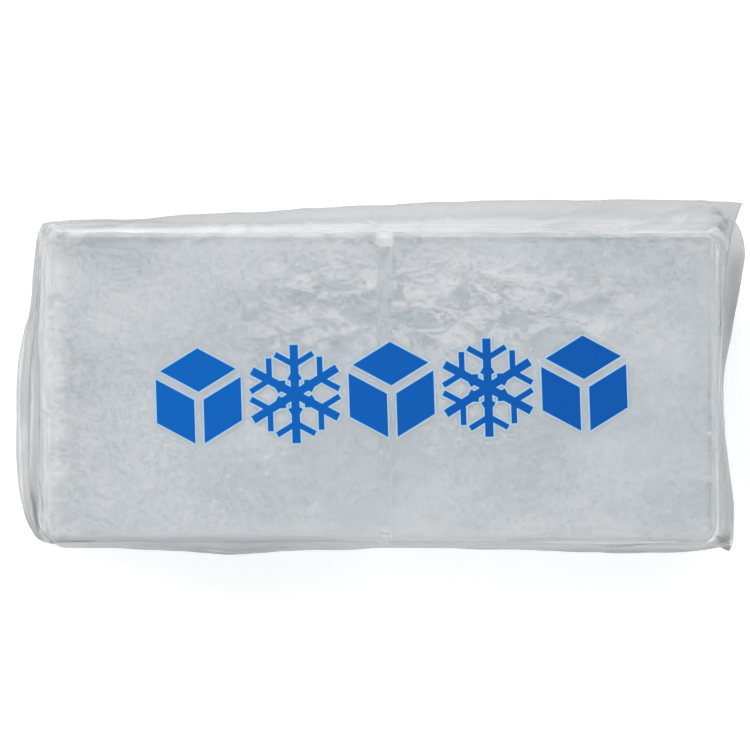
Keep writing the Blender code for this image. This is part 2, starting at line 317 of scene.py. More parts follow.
def read(places, table):
    """Values of a table of (place, value) pairs at the given places, on a smooth line through them.

    Between two pairs it is the cubic that has their values and the table's own slopes there."""
    known, values = (np.array(column, float) for column in zip(*table))
    after = np.clip(np.searchsorted(known, places), 1, len(known) - 1)
    start, end = known[after - 1], known[after]
    share = np.clip((places - start) / (end - start), 0, 1)
    slopes = np.gradient(values, known)
    span = end - start
    a, b = values[after - 1], values[after]
    return (
        a * (1 + 2 * share) * (1 - share) ** 2 + b * share**2 * (3 - 2 * share)
        + span * slopes[after - 1] * share * (1 - share) ** 2
        - span * slopes[after] * share**2 * (1 - share)
    )


def waves(points, size, seed, count=9):
    """Smooth noise about 0: the mean of seeded sine waves of about the given length in all directions."""
    draw = np.random.default_rng(seed)
    total = np.zeros(points.shape[:-1])
    for _ in range(count):
        direction = draw.normal(size=3)
        direction *= 2 * math.pi / (size * draw.uniform(0.7, 1.5) * np.linalg.norm(direction))
        total += np.sin(points @ direction + draw.uniform(0, 2 * math.pi))
    return total / math.sqrt(count)


def crumple(points, size, seed, count=7):
    """Sharp-crested noise: the mean of folded waves, 1 - |sin|, that run in all directions and wander."""
    draw = np.random.default_rng(seed)
    wander = np.stack([waves(points, size * 3, seed + k + 1, 5) for k in range(3)], axis=-1) * size * 0.35
    total = np.zeros(points.shape[:-1])
    for _ in range(count):
        direction = draw.normal(size=3)
        direction *= math.pi / (size * draw.uniform(0.6, 1.6) * np.linalg.norm(direction))
        total += 0.63 - np.abs(np.sin((points + wander) @ direction + draw.uniform(0, math.pi)))
    return total / math.sqrt(count)


def crease(points, path, levels, width):
    """A ridge along a path in plan, between two heights: 1 on the line, less towards its sides and ends."""
    path, (low, high) = np.array(path) * MM, np.array(levels) * MM
    lengths = np.linalg.norm(np.diff(path, axis=0), axis=1)
    along_start = np.concatenate(([0], np.cumsum(lengths)))
    best = np.full(points.shape[:-1], np.inf)
    along = np.zeros(points.shape[:-1])
    for number, length in enumerate(lengths):
        start, step = path[number], path[number + 1] - path[number]
        share = np.clip(((points[..., :2] - start) @ step) / length**2, 0, 1)
        distance = np.linalg.norm(points[..., :2] - start - share[..., None] * step, axis=-1)
        nearer = distance < best
        best = np.where(nearer, distance, best)
        along = np.where(nearer, along_start[number] + share * length, along)
    place = along / along_start[-1]
    fade = np.sqrt(np.clip(5 * place * (1 - place), 0.05, 1))
    height, ease = points[..., 2], 2 * MM
    level = smooth((height - low) / ease + 0.5) * smooth((high - height) / ease + 0.5)
    reach = best / (width * MM)
    return level * fade * np.exp(-reach * np.sqrt(reach**2 + 0.3) * 0.9)


def outline(half_x, half_y, radius, side_x, side_y, corner_steps):
    """Points and outward directions round a rounded rectangle, anticlockwise from above.

    side_x and side_y are the places of the points along the sides, as shares from -1 to 1."""
    reach = np.array((half_x - radius, half_y - radius))
    points, outward = [], []
    corners = ((1, -1, -90), (1, 1, 0), (-1, 1, 90), (-1, -1, 180))
    for number, (x, y, start) in enumerate(corners):
        turn = np.radians(start + 90 * np.arange(corner_steps + 1) / corner_steps)
        arc = np.column_stack((np.cos(turn), np.sin(turn)))
        ring = arc * radius + reach * (x, y)
        side = (side_y, side_x, side_y, side_x)[number]
        inner = np.sort(side)[1:-1] if number in (0, 3) else np.sort(side)[::-1][1:-1]
        line = np.repeat(ring[-1:], len(inner), axis=0)
        axis = 1 if number in (0, 2) else 0
        line[:, axis] = inner * reach[axis]
        points += [ring, line]
        outward += [arc, np.repeat(arc[-1:], len(line), axis=0)]
    return np.vstack(points), np.vstack(outward)


def grid_normals(grid):
    """Unit normals of a grid of points, whose rows are closed rings: the cross product of its steps."""
    along = np.roll(grid, -1, axis=1) - np.roll(grid, 1, axis=1)
    up = np.gradient(grid, axis=0)
    normal = np.cross(along, up)
    length = np.linalg.norm(normal, axis=-1, keepdims=True)
    return normal / np.maximum(length, 1e-15)


def skin_mesh(name, grid, marks=()):
    """A closed skin over a grid of points: rows joined by quads, and its first and last rows sewn up.

    marks names the values, one a point, that are kept on the mesh for its material to read."""
    rows, count = grid.shape[:2]
    index = np.arange(rows * count).reshape(rows, count)
    turned = np.roll(index, -1, axis=1)
    quads = np.stack((index[:-1], turned[:-1], turned[1:], index[1:]), axis=-1).reshape(-1, 4)
    flat = grid.reshape(-1, 3)
    # the first and last rows fold up on themselves, so their points are the same in pairs
    keys = np.round(flat / (0.004 * MM)).astype(np.int64)
    ends = np.ones(len(flat), bool)
    ends[count : (rows - 1) * count] = False
    same = np.arange(len(flat))
    _, first, back = np.unique(keys[ends], axis=0, return_index=True, return_inverse=True)
    end_index = np.nonzero(ends)[0]
    same[end_index] = end_index[first[back.ravel()]]
    used, packed = np.unique(same, return_inverse=True)
    # a quad on a sewn row may lose a corner, or close up altogether
    quads = packed[quads]
    lost = quads == np.roll(quads, 1, axis=1)
    crossed = (quads[:, 0] == quads[:, 2]) | (quads[:, 1] == quads[:, 3])
    whole = quads[~lost.any(axis=1) & ~crossed]
    pinched = lost.sum(axis=1) == 1
    thirds = quads[pinched][~lost[pinched]].reshape(-1, 3)
    mesh = bpy.data.meshes.new(name)
    mesh.from_pydata(flat[used].tolist(), [], whole.tolist() + thirds.tolist())
    mesh.update()
    mesh.validate()
    mesh.shade_smooth()
    for mark in marks:
        mesh.attributes.new(mark, "FLOAT", "POINT").data.foreach_set("value", marks[mark].ravel()[used])
    obj = bpy.data.objects.new(name, mesh)
    bpy.context.scene.collection.objects.link(obj)
    return obj


def spread(start, end, step, ease=0.0):
    """Even places from start to end, both kept; ease crowds them towards the start."""
    count = max(2, int(round(abs(end - start) / step)) + 1)
    share = np.linspace(0, 1, count)
    return start + (end - start) * (share * (1 - ease) + share**2 * ease)


def ice_grid(ice):
    """The block's skin: a rounded box as rows round its plan, with groove and melt waves pressed in.

    Each row is the plan's outline at one height; rows over the top and the underside shrink to the block's
    middle line. The groove is pressed in against the skin's own normals, where x is near it."""
    reach_x = ICE_HALF[0] - ICE_CORNER
    # the long sides' points are even, but for those at the groove's walls
    beside = np.array((1.5, 2.0, 2.3, 2.5, 2.9, 3.4)) * MM
    groove = (GROOVE_X + np.concatenate((-beside[::-1], (0,), beside))) / reach_x
    even, least_gap = np.linspace(-1, 1, 104), 0.9 * MM / reach_x
    even = even[np.min(np.abs(even[:, None] - groove), axis=1) > least_gap]
    side_x = np.sort(np.concatenate((even, groove)))
    side_y = np.linspace(-1, 1, 44)
    points, outward = outline(ICE_HALF[0], ICE_HALF[1], ICE_CORNER, side_x, side_y, 8)
    middle = np.clip(points[:, 0], -ICE_HALF[0] + ICE_HALF[1], ICE_HALF[0] - ICE_HALF[1])
    turn = np.radians(np.linspace(0, 90, 8))[1:]
    # the last rows of the flats are close together, so that the edge's roundness doesn't shade the flat
    flat = np.append(spread(1, 0, 1 / 15)[:-1], (0.02, 0.006, 0))
    heights = [0 * flat, ICE_EDGE * (1 - np.cos(turn))]
    insets = [0 * flat, ICE_EDGE * (1 - np.sin(turn))]
    closing = [flat, 0 * turn]
    side = spread(ICE_EDGE, 2 * ICE_HALF[2] - ICE_EDGE, 2.4 * MM)[1:-1]
    heights = np.concatenate(heights + [side] + [2 * ICE_HALF[2] - part[::-1] for part in heights[::-1]])
    insets = np.concatenate(insets + [0 * side] + [part[::-1] for part in insets[::-1]])
    closing = np.concatenate(closing + [0 * side] + [part[::-1] for part in closing[::-1]])
    insets[: len(flat)] = insets[-len(flat) :] = ICE_EDGE
    plan = points[None] - outward[None] * insets[:, None, None]
    line = np.stack((middle, 0 * middle), axis=-1)
    plan = plan + (line[None] - plan) * closing[:, None, None]
    height = np.broadcast_to(heights[:, None, None], plan.shape[:2] + (1,))
    grid = np.concatenate((plan, height + ICE_LOW[2]), axis=-1)
    up = np.clip((heights - ICE_HALF[2]) / (ICE_HALF[2] - ICE_EDGE), -1, 1)
    steep = np.sqrt(np.clip(1 - (insets / ICE_EDGE) ** 2, 0, 1)) * np.sqrt(np.clip(1 - closing, 0, 1))
    level = np.sqrt(1 - steep**2) * np.sign(up)
    upward = np.broadcast_to(level[:, None, None], plan.shape[:2] + (1,))
    normal = np.concatenate((outward[None] * steep[:, None, None], upward), axis=-1)
    in_groove = np.clip((GROOVE_WIDTH / 2 - np.abs(grid[..., 0] - GROOVE_X)) / GROOVE_LEAN, 0, 1)
    side_groove = np.where(normal[..., 1] > 0, ice.side_groove, ice.near_groove)
    depth = side_groove * normal[..., 1] ** 2 + ice.face_groove * normal[..., 2] ** 2
    melt = ice.melt * (0.55 * waves(grid, 46 * MM, 3) + 0.45 * waves(grid, 17 * MM, 4) - 1.3)
    melt = np.minimum(melt, -0.02 * MM)  # melting only takes away
    grid = grid + normal * (melt - in_groove * depth)[..., None]
    # each end row is folded up on the middle line, so the points that meet there share one place
    for row, ring in ((0, grid[0]), (-1, grid[-1])):
        _, back = np.unique(np.round(line[:, 0] / (0.01 * MM)), return_inverse=True)
        sums = np.stack([np.bincount(back, ring[:, k]) / np.bincount(back) for k in range(3)], axis=-1)
        grid[row] = sums[back]
        grid[row, :, 1] = 0
    return grid


def off_the_ice(grid):
    """Signed distance from the block's plain rounded box, and the direction away from it.

    In plan it is a rectangle with rounded corners; that distance and the height's are rounded together."""
    reach = ICE_HALF[:2] - ICE_CORNER
    side = np.abs(grid[..., :2]) - reach
    beyond = np.maximum(side, 0)
    length = np.linalg.norm(beyond, axis=-1)
    plan = length + np.minimum(side.max(axis=-1), 0) - ICE_CORNER
    height = grid[..., 2] - ICE_MIDDLE[2]
    rise = np.abs(height) - ICE_HALF[2]
    a, b = np.maximum(plan + ICE_EDGE, 0), np.maximum(rise + ICE_EDGE, 0)
    joined = np.hypot(a, b)
    distance = joined - ICE_EDGE + np.minimum(np.maximum(plan, rise) + ICE_EDGE, 0)
    safe = np.maximum(length, 1e-9)[..., None]
    away_plan = np.where(beyond > 0, beyond / safe, 0) * np.sign(grid[..., :2])
    share = np.maximum(joined, 1e-9)
    away = np.concatenate(
        (away_plan * (a / share)[..., None], (b / share * np.sign(height))[..., None]), axis=-1)
    return distance, away


def film_grid(film):
    """The bag's skin: rows round its plan, from the middle of the underside to the middle of the top.

    Between them it stands off the block by the tables above, runs out into a thin fin at each end and is
    pulled out to its ears. Then every crease and the crumple are added along the skin's own normals. With
    the
    points come four values for the finish: how far the film is off the ice, its creases' painted highlights
    and painted shade, how upright it stands, and how much it faces the near side; the last two choose where
    the finish paints shade."""
    half = ICE_HALF[:2] + FILM_OFF_ICE
    radius, edge = ICE_CORNER + FILM_OFF_ICE, ICE_EDGE + FILM_OFF_ICE
    points, outward = outline(half[0], half[1], radius, np.linspace(-1, 1, 190), np.linspace(-1, 1, 84), 12)
    middle = np.clip(points[:, 0], half[1] - half[0], half[0] - half[1])
    line = np.stack((middle, 0 * middle), axis=-1)

    under = spread(1, 0, 1 / 9)
    over = spread(0, 1, 1 / 33, 0.45)
    low_turn, high_turn = np.radians(np.linspace(0, 90, 7))[1:], np.radians(np.linspace(90, 0, 11))[:-1]
    low_side = spread(edge, 25 * MM, 1.2 * MM)[1:]
    high_side = spread(35 * MM, FILM_TOP - edge, 1.1 * MM)[:-1]
    fin = np.linspace(0, 1, 9)

    def rows(*parts):
        """One value a row: of the underside, its edge, the low side, the fin's two leaves, and so on up."""
        counts = (under, low_turn, low_side, fin, fin, high_side, high_turn, over)
        return np.concatenate([part * np.ones(len(count)) for part, count in zip(parts, counts)])

    closing = rows(under, 0, 0, 0, 0, 0, 0, over)
    inset = rows(edge, edge * (1 - np.sin(low_turn)), 0, 0, 0, 0, edge * (1 - np.sin(high_turn)), edge)
    height = rows(
        FILM_LIFT, FILM_LIFT + edge * (1 - np.cos(low_turn)), low_side,
        np.linspace(25.5, 29.6, 9) * MM, np.linspace(30.4, 34.5, 9) * MM, high_side,
        FILM_TOP - edge * (1 - np.cos(high_turn)), FILM_TOP)
    run_out = rows(0, 0, 0, fin, fin[::-1], 0, 0, 0)
    at_fin = rows(0, 0, 0, 1, 1, 0, 0, 0)
    upper = rows(0, 0, 0, 0, 1, 0, 0, 0)

    x, y = points.T / MM
    far, near = np.clip(outward[:, 1], 0, 1) ** 2, np.clip(-outward[:, 1], 0, 1) ** 2
    right, left = np.clip(outward[:, 0], 0, 1) ** 2, np.clip(-outward[:, 0], 0, 1) ** 2
    finned = (smooth(left * 1.6) + smooth(right * 1.6))[None]
    leaf = np.where(upper > 0, 1, -1) * (0.14 + 0.25 * (1 - run_out)) * MM + FIN_MIDDLE
    z = height[:, None] + at_fin[:, None] * finned * (leaf - height)[:, None]
    mm = z / MM
    loose = far * read(x, FAR_FOLD) * read(mm, FAR_RISE) + near * read(x, NEAR_FOLD) * read(mm, NEAR_RISE)
    left_out, right_out = left * read(y, LEFT_FIN), smooth(right * 1.8) * read(y, RIGHT_FLAP)
    loose = loose + left_out * (read(mm, LEFT_RISE) * (1 - run_out[:, None]) + run_out[:, None])
    right_base = right * read(y, RIGHT_FOLD) * read(mm, RIGHT_RISE)
    loose = loose + right_base + (right_out - right_base) * run_out[:, None] * (right_out > right_base)
    on_flat = (closing > 0) | (inset >= edge * 0.999)
    loose = np.where(on_flat[:, None], 0, loose) * MM
    droop = run_out[:, None] ** 1.5 * (right * read(y, RIGHT_DROOP) + left * LEFT_DROOP) * MM
    flutter = run_out[:, None] * left * (1.3 * np.sin(y / 9.0) + 0.7 * np.sin(y / 3.7 + 1)) * MM

    plan = points[None] + outward[None] * (loose - inset[:, None])[..., None]
    plan = plan + (line[None] - plan) * closing[:, None, None]
    grid = np.concatenate((plan, (z - droop + flutter)[..., None]), axis=-1)

    # an ear is pulled out most at its own height
    for tip, reach, level in EARS:
        tip = np.array(tip) * MM
        root = points[np.argmin(np.hypot(*(points - tip).T))]
        pull = np.clip(1 - np.hypot(*(points - root).T) / (reach * MM), 0, 1) ** 1.25
        above = np.clip((grid[..., 2] - level) / (FILM_TOP - level), 0, 1)
        below = np.clip((level - grid[..., 2]) / (26 * MM), 0, 1)
        rise = (1 - above) ** 1.4 * (1 - below) ** 1.8
        rise = np.where(on_flat[:, None], 0, rise)
        share = (pull[None] * rise)[..., None]
        grid[..., :2] += share * (tip - grid[..., :2])

    # crumple and slow waves, mostly on the sides
    normal = grid_normals(grid)
    side_on = smooth((FILM_TOP - 1.2 * MM - grid[..., 2]) / (4 * MM)) * smooth(grid[..., 2] / (9 * MM))
    rim = smooth(1 - np.maximum(half[0] - 6 * MM - np.abs(grid[..., 0]), 0) / (16 * MM))
    slack = np.clip(side_on * 0.9 + 0.12 * rim, 0, 1)
    lift = slack * (0.30 * crumple(grid * (1, 1, 0.6), 19 * MM, 21) + 0.12 * crumple(grid, 7 * MM, 22)) * MM
    lift += slack * 0.3 * waves(grid, 30 * MM, 23) * MM
    # creases, which break off and wander on the long sides, with their painted highlights and painted shade
    wall = smooth((57 * MM - grid[..., 2]) / (4 * MM)) * (np.abs(grid[..., 0]) < 133 * MM)
    broken = 1 - 0.4 * wall * (1 - smooth(0.5 + crumple(grid * (1, 1, 0.6), 20 * MM, 26)))
    wander = wall * waves(grid * (1, 1, 0), 20 * MM, 27) * 9 * MM
    shifted = grid + wander[..., None] * (0, 0, 1)
    # each place keeps its strongest crease mark: a painted highlight above 0, painted shade below 0
    shade = 0 * slack
    for path, levels, high, width, white in CREASES:
        ridge = crease(shifted, path, levels, width) * broken
        lift += high * MM * ridge
        shade = np.where(np.abs(white * ridge) > np.abs(shade), white * ridge, shade)
    # fine ripples on the top, which only rise
    top = (closing[:, None] > 0) & (grid[..., 2] > ICE_MIDDLE[2])
    ripple = 0.10 * crumple(grid * (0.35, 1, 1), 9 * MM, 24)
    ripple += 0.05 * crumple(grid * (1, 0.5, 1), 5 * MM, 25)
    lift += np.where(top, np.maximum(ripple, 0) * MM, 0)
    lift[0] = lift[-1] = 0
    under_rows = (height < FILM_LIFT * 1.01)[:, None]
    lift = np.where(under_rows, 0, lift * film.crease)
    # a fin's two leaves are never pushed into each other
    lift = np.where(at_fin[:, None] * finned > 0.3, np.maximum(lift, 0), lift)
    grid = grid + normal * lift[..., None]

    # no place of the film comes too near the ice, or goes through the floor
    distance, away = off_the_ice(grid)
    slack = smooth((distance - FILM_SHOWS) / (FILM_LOOSE - FILM_SHOWS))
    short = np.maximum(FILM_OFF_ICE * 0.8 - distance, 0)
    short[0] = short[-1] = 0
    grid = grid + away * short[..., None]
    grid[..., 2] = np.maximum(grid[..., 2], FILM_LIFT)
    for row in (0, -1):
        grid[row, :, 2] = height[row]
    normal = grid_normals(grid)
    return grid, {
        "slack": slack,
        "crease": shade,
        # steep and near choose where the finish paints shade: on upright film and on the near long side
        "steep": 1 - np.abs(normal[..., 2]),
        "near": smooth(-normal[..., 1] * 1.2),
    }


# ---------------------------------------------------------------- finishes


class Finish:
    """A material while it is being mixed. Its methods add a node each and return what comes out of it."""

    def __init__(self, name):
        self.material = bpy.data.materials.new(name)
        self.material.use_nodes = True
        self.tree = self.material.node_tree
        self.tree.nodes.clear()
        self.output = self.tree.nodes.new("ShaderNodeOutputMaterial")

    def node(self, kind, out=0, settings=None, **inputs):
        """Add a node and return one of its outputs.

        Inputs are values or other outputs. They are named as their sockets are, with _ for spaces, or with i
        and the socket's number."""
        made = self.tree.nodes.new("ShaderNode" + kind)
        for key, value in (settings or {}).items():
            setattr(made, key, value)
        for key, value in inputs.items():
            self.plug(made, key.replace("_", " "), value)
        return made.outputs[out]

    def plug(self, node, key, value):
        """Link a socket to an output, or set it to a value. A colour of three numbers is made opaque."""
        socket = node.inputs[int(key[1:])] if key[:1] == "i" and key[1:].isdigit() else node.inputs[key]
        if isinstance(value, bpy.types.NodeSocket):
            self.tree.links.new(value, socket)
        elif hasattr(value, "__len__") and len(socket.default_value) == 4 and len(value) == 3:
            socket.default_value = (*value, 1)
        else:
            socket.default_value = value

    def sum(self, operation, a, b=0.0, c=0.0, clamp=False):
        """Arithmetic on single values."""
        return self.node("Math", settings={"operation": operation, "use_clamp": clamp}, i0=a, i1=b, i2=c)

    def ramp(self, value, low, high, start=0.0, end=1.0):
        """Value carried smoothly from the range low..high to start..end."""
        return self.node(
            "MapRange", settings={"interpolation_type": "SMOOTHSTEP"},
            Value=value, From_Min=low, From_Max=high, To_Min=start, To_Max=end)

    def places(self, scale=(1, 1, 1), turn=0.0, shift=(0, 0, 0)):
        """The piece's own coordinates in metres, moved, turned about Z and scaled."""
        coordinates = self.node("TexCoord", out="Object")
        return self.node("Mapping", Vector=coordinates, Location=shift, Rotation=(0, 0, turn), Scale=scale)

    def noise(self, where, size, detail=3.0, rough=0.5, warp=0.0):
        """Noise about 0.5, with patches of about the given size."""
        return self.node(
            "TexNoise", Vector=where, Scale=1 / size, Detail=detail, Roughness=rough, Distortion=warp)

    def blend(self, share, a, b):
        """Mix two colours."""
        made = self.tree.nodes.new("ShaderNodeMix")
        made.data_type = "RGBA"
        for socket, value in zip((made.inputs[0], made.inputs[6], made.inputs[7]), (share, a, b)):
            if isinstance(value, bpy.types.NodeSocket):
                self.tree.links.new(value, socket)
            else:
                socket.default_value = (*value, 1) if hasattr(value, "__len__") else value
        return made.outputs[2]

    def finish(self, surface, volume=None):
        """Link what the material is made of, and return it."""
        self.tree.links.new(surface, self.output.inputs["Surface"])
        if volume is not None:
            self.tree.links.new(volume, self.output.inputs["Volume"])
        return self.material


def ice_finish(ice):
    """Clear ice: refracting and faintly blue, under a skin of fine frost, wisps and trapped air.

    The frost's share is a sum: soft clouds, fine grain, wisps in the far half, sparks of trapped air, rime
    on the far rim, a painted highlight made as a strip of extra frost along the left end, and frost at the
    groove's ends. The more frost, the less the skin lets through."""
    f = Finish("clear ice")
    split = f.node("SeparateXYZ", Vector=f.node("TexCoord", out="Object"))
    x, y = split, split.node.outputs[1]
    off_groove = f.ramp(f.sum("ABSOLUTE", f.sum("ADD", x, -GROOVE_X)), 2.2 * MM, 4.0 * MM)
    inward = f.sum(
        "MINIMUM", f.sum("SUBTRACT", ICE_HALF[0], f.sum("ABSOLUTE", x)),
        f.sum("SUBTRACT", ICE_HALF[1], f.sum("ABSOLUTE", y)))

    cloud = f.noise(f.places((1, 1.3, 1)), CLOUD, 2, 0.55)
    clouds = f.ramp(cloud, 0.34, 0.66, 0.06, 0.40)
    grain = f.ramp(f.noise(f.places((0.8, 1, 1)), GRAIN, 2, 0.75), 0.38, 0.62, -0.13, 0.24)

    crinkle = f.noise(f.places((0.55, 1.1, 1), 0.05), WISP, 6, 0.82, 0.8)
    far_half = f.sum("MULTIPLY", f.ramp(y, 6 * MM, 22 * MM), f.ramp(y, 54 * MM, 38 * MM))
    middle = f.sum("MULTIPLY", f.ramp(x, -66 * MM, -30 * MM), f.ramp(x, 112 * MM, 80 * MM))
    wisps = f.sum("MULTIPLY_ADD", far_half, middle, 0.25)
    wisps = f.sum("MULTIPLY", wisps, f.ramp(crinkle, 0.45, 0.55, -0.20, 0.46))
    wisps = f.sum("MULTIPLY_ADD", off_groove, f.sum("ADD", wisps, -0.06), 0.06)

    sparks = f.node("TexVoronoi", settings={"feature": "F1"}, Vector=f.places(), Scale=1 / SPARK_PITCH)
    sparks = f.sum("MULTIPLY", f.ramp(sparks, 0.12, 0.06), f.ramp(cloud, 0.52, 0.44))

    rime = f.sum("MULTIPLY", f.ramp(y, 57.2 * MM, 59 * MM), f.ramp(crinkle, 0.46, 0.56, 0.0, 0.5))
    # painted highlight: a strip of extra white frost just inside the left end
    left_painted_highlight = f.sum("MULTIPLY", f.ramp(inward, 12 * MM, 3 * MM), f.ramp(inward, 0.5 * MM, 2.5 * MM))
    left_painted_highlight = f.sum("MULTIPLY", left_painted_highlight, f.ramp(x, -110 * MM, -122 * MM, 0.06, 0.45))
    notch = f.sum("MULTIPLY", f.sum("SUBTRACT", 1, off_groove), f.ramp(inward, 6.4 * MM, 5.0 * MM))
    notch = f.sum("MULTIPLY", notch, f.ramp(y, -10 * MM, 10 * MM, 0.3, 1.0))

    frost = clouds
    for more in (wisps, rime, left_painted_highlight, notch, sparks):
        frost = f.sum("ADD", frost, more)
    frost = f.sum("ADD", frost, grain, clamp=True)
    shell = f.node(
        "BsdfPrincipled", Base_Color=f.blend(frost, ice.clear_colour, ice.frost_colour),
        Roughness=f.sum("MULTIPLY_ADD", frost, 0.12, 0.30), IOR=ICE_IOR,
        Transmission_Weight=f.sum("MULTIPLY_ADD", frost, -0.75, 0.92))
    return f.finish(shell, f.node("VolumeAbsorption", Color=ICE_TINT, Density=ICE_DENSITY))


def print_signals(f, figures):
    """Where the ink lies, where ink or keyline lies, and how far along the print a place is.

    They come from signed distances to a row of ice cubes and snowflakes. In each cell the plane is folded
    about the figure's middle: by thirds of a turn for a cube, whose three rhombic faces become one, and by
    sixths for a snowflake, whose arms become half of one arm."""
    split = f.node("SeparateXYZ", Vector=f.places((1, 1, 1), PRINT_TURN, PRINT_SHIFT))
    along, across, level = split, split.node.outputs[1], split.node.outputs[2]
    half_row = 2.5 * figures.pitch
    stepped = f.sum("DIVIDE", f.sum("ADD", along, half_row), figures.pitch)
    cell = f.sum("FLOOR", stepped)
    local = f.sum("MULTIPLY", f.sum("SUBTRACT", f.sum("FRACT", stepped), 0.5), figures.pitch)
    turn = f.sum("ARCTAN2", across, local)
    radius = f.sum("SQRT", f.sum("MULTIPLY_ADD", local, local, f.sum("MULTIPLY", across, across)))
    size = figures.figure / 2

    third, sixth = 2 * math.pi / 3, math.pi / 3
    face_turn = f.sum("FLOORED_MODULO", f.sum("SUBTRACT", turn, math.pi / 6), third)
    first = f.sum("MULTIPLY", radius, f.sum("SINE", face_turn))
    second = f.sum("MULTIPLY", radius, f.sum("SINE", f.sum("SUBTRACT", third, face_turn)))
    inner = f.sum("SUBTRACT", CUBE_GAP, f.sum("MINIMUM", first, second))
    outer = f.sum("SUBTRACT", f.sum("MAXIMUM", first, second), size * math.sin(sixth))
    cube = f.sum("MAXIMUM", inner, outer)

    arm_turn = f.sum("FLOORED_MODULO", turn, sixth)
    arm_turn = f.sum("ABSOLUTE", f.sum("SUBTRACT", arm_turn, math.pi / 6))
    out = f.sum("MULTIPLY", radius, f.sum("COSINE", arm_turn))
    off = f.sum("MULTIPLY", radius, f.sum("SINE", arm_turn))
    flake = f.sum("MAXIMUM", f.sum("SUBTRACT", off, ARM), f.sum("SUBTRACT", out, size))
    for start, length in TWIGS:
        ahead = f.sum("SUBTRACT", out, start * size)
        along_twig = f.sum("MULTIPLY_ADD", ahead, 0.5, f.sum("MULTIPLY", off, math.sin(sixth)))
        aside = f.sum("SUBTRACT", f.sum("MULTIPLY", ahead, math.sin(sixth)), f.sum("MULTIPLY", off, 0.5))
        twig = f.sum("SUBTRACT", f.sum("ABSOLUTE", aside), TWIG)
        twig = f.sum("MAXIMUM", twig, f.sum("SUBTRACT", along_twig, length * size))
        twig = f.sum("MAXIMUM", twig, f.sum("MULTIPLY", along_twig, -1))
        flake = f.sum("MINIMUM", flake, twig)

    odd = f.sum("FLOORED_MODULO", cell, 2)
    distance = f.node("Mix", settings={"data_type": "FLOAT"}, i0=odd, i2=cube, i3=flake)
    in_row = f.sum("LESS_THAN", f.sum("ABSOLUTE", along), half_row)
    on_top = f.sum("MULTIPLY", in_row, f.sum("GREATER_THAN", level, PRINT_LEVEL))
    ink = f.sum("MULTIPLY", f.sum("LESS_THAN", distance, -figures.keyline), on_top)
    covered = f.sum("MULTIPLY", f.sum("LESS_THAN", distance, 0.0), on_top)
    return ink, covered, f.ramp(along, -half_row, half_row)


def film_finish(film, figures):
    """Clear film: mostly see-through, glossy by its angle, milky where it creases, and inked on its top.

    A share of the surface, its haze, is a thin milk that some light goes through; the rest is clear. It
    hides more where the film is loose, creased or edge on, and its colour comes from values on the mesh:
    painted shade where the film stands upright and on the near long side, and painted highlights and
    painted shade along the creases."""
    f = Finish("clear film")
    ink, covered, across = print_signals(f, figures)
    slack, mark, steep, near = (
        f.node("Attribute", out="Fac", settings={"attribute_name": name})
        for name in ("slack", "crease", "steep", "near"))
    # shares of the creases' painted highlight and painted shade
    white, crease_painted_shade_share = f.ramp(mark, 0.03, 0.9), f.ramp(mark, -0.03, -0.9)

    patches = f.noise(f.places((1, 1.6, 1)), 26 * MM, 1, 0.6)
    haze = f.ramp(patches, 0.3, 0.75, film.haze * 0.7, film.haze * 1.3)
    haze = f.sum("MULTIPLY_ADD", slack, film.loose_haze, haze)
    facing = f.node("LayerWeight", out="Facing", Blend=0.5)
    # haze is thicker edge on, and thicker still on the near long side, so that its painted shade shows
    edge_haze = f.sum("MULTIPLY_ADD", near, film.near_haze, film.edge_haze)
    haze = f.sum("MULTIPLY_ADD", f.sum("POWER", facing, 3.0), edge_haze, haze, clamp=True)
    haze = f.sum("MULTIPLY_ADD", f.sum("ADD", white, crease_painted_shade_share), film.fold_haze, haze, clamp=True)
    haze = f.sum("MAXIMUM", haze, covered)

    # painted shade: darker haze where the film stands upright
    milk = f.blend(f.ramp(steep, 0.2, 1.0), film.colour, film.upright_painted_shade_colour)
    # painted shade on the near long side
    milk = f.blend(near, milk, film.near_painted_shade_colour)
    # painted highlights and painted shade along the creases
    milk = f.blend(crease_painted_shade_share, f.blend(white, milk, film.crease_painted_highlight_colour), film.crease_painted_shade_colour)
    ink_colour = f.blend(across, figures.left_ink, figures.right_ink)
    printed = f.blend(ink, figures.keyline_ink, ink_colour)

    front = f.node(
        "BsdfPrincipled", Base_Color=f.blend(covered, milk, printed), Roughness=0.45,
        Specular_IOR_Level=0.0)
    through = f.node("BsdfTranslucent", Color=milk)
    passing = f.sum("MULTIPLY_ADD", covered, -FILM_THROUGH, FILM_THROUGH)
    body = f.node("MixShader", i0=passing, i1=front, i2=through)
    clear = f.node("BsdfTransparent", Color=(0.985, 0.985, 0.985))
    sheet = f.node("MixShader", i0=haze, i1=clear, i2=body)
    gloss = f.node("BsdfGlossy", Color=(1, 1, 1), Roughness=FILM_GLOSS)
    straight = f.sum("MULTIPLY_ADD", covered, -0.03, GLOSS_STRAIGHT)
    mirrored = f.sum("MULTIPLY_ADD", f.sum("POWER", facing, 4.0), GLOSS_EDGE, straight)
    return f.finish(f.node("MixShader", i0=mirrored, i1=sheet, i2=gloss))


# ---------------------------------------------------------------- operators


class ICEPACK_OT_ice_block(bpy.types.Operator):
    """Make the block of clear ice with its split groove"""

    bl_idname = "icepack.ice_block"
    bl_label = "Ice block"

    def execute(self, context):
        ice = context.scene.icepack_ice
        block = skin_mesh("ice", ice_grid(ice))
        block.data.materials.append(ice_finish(ice))
        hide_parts("ice_block")
        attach(block, "root")
        return {"FINISHED"}


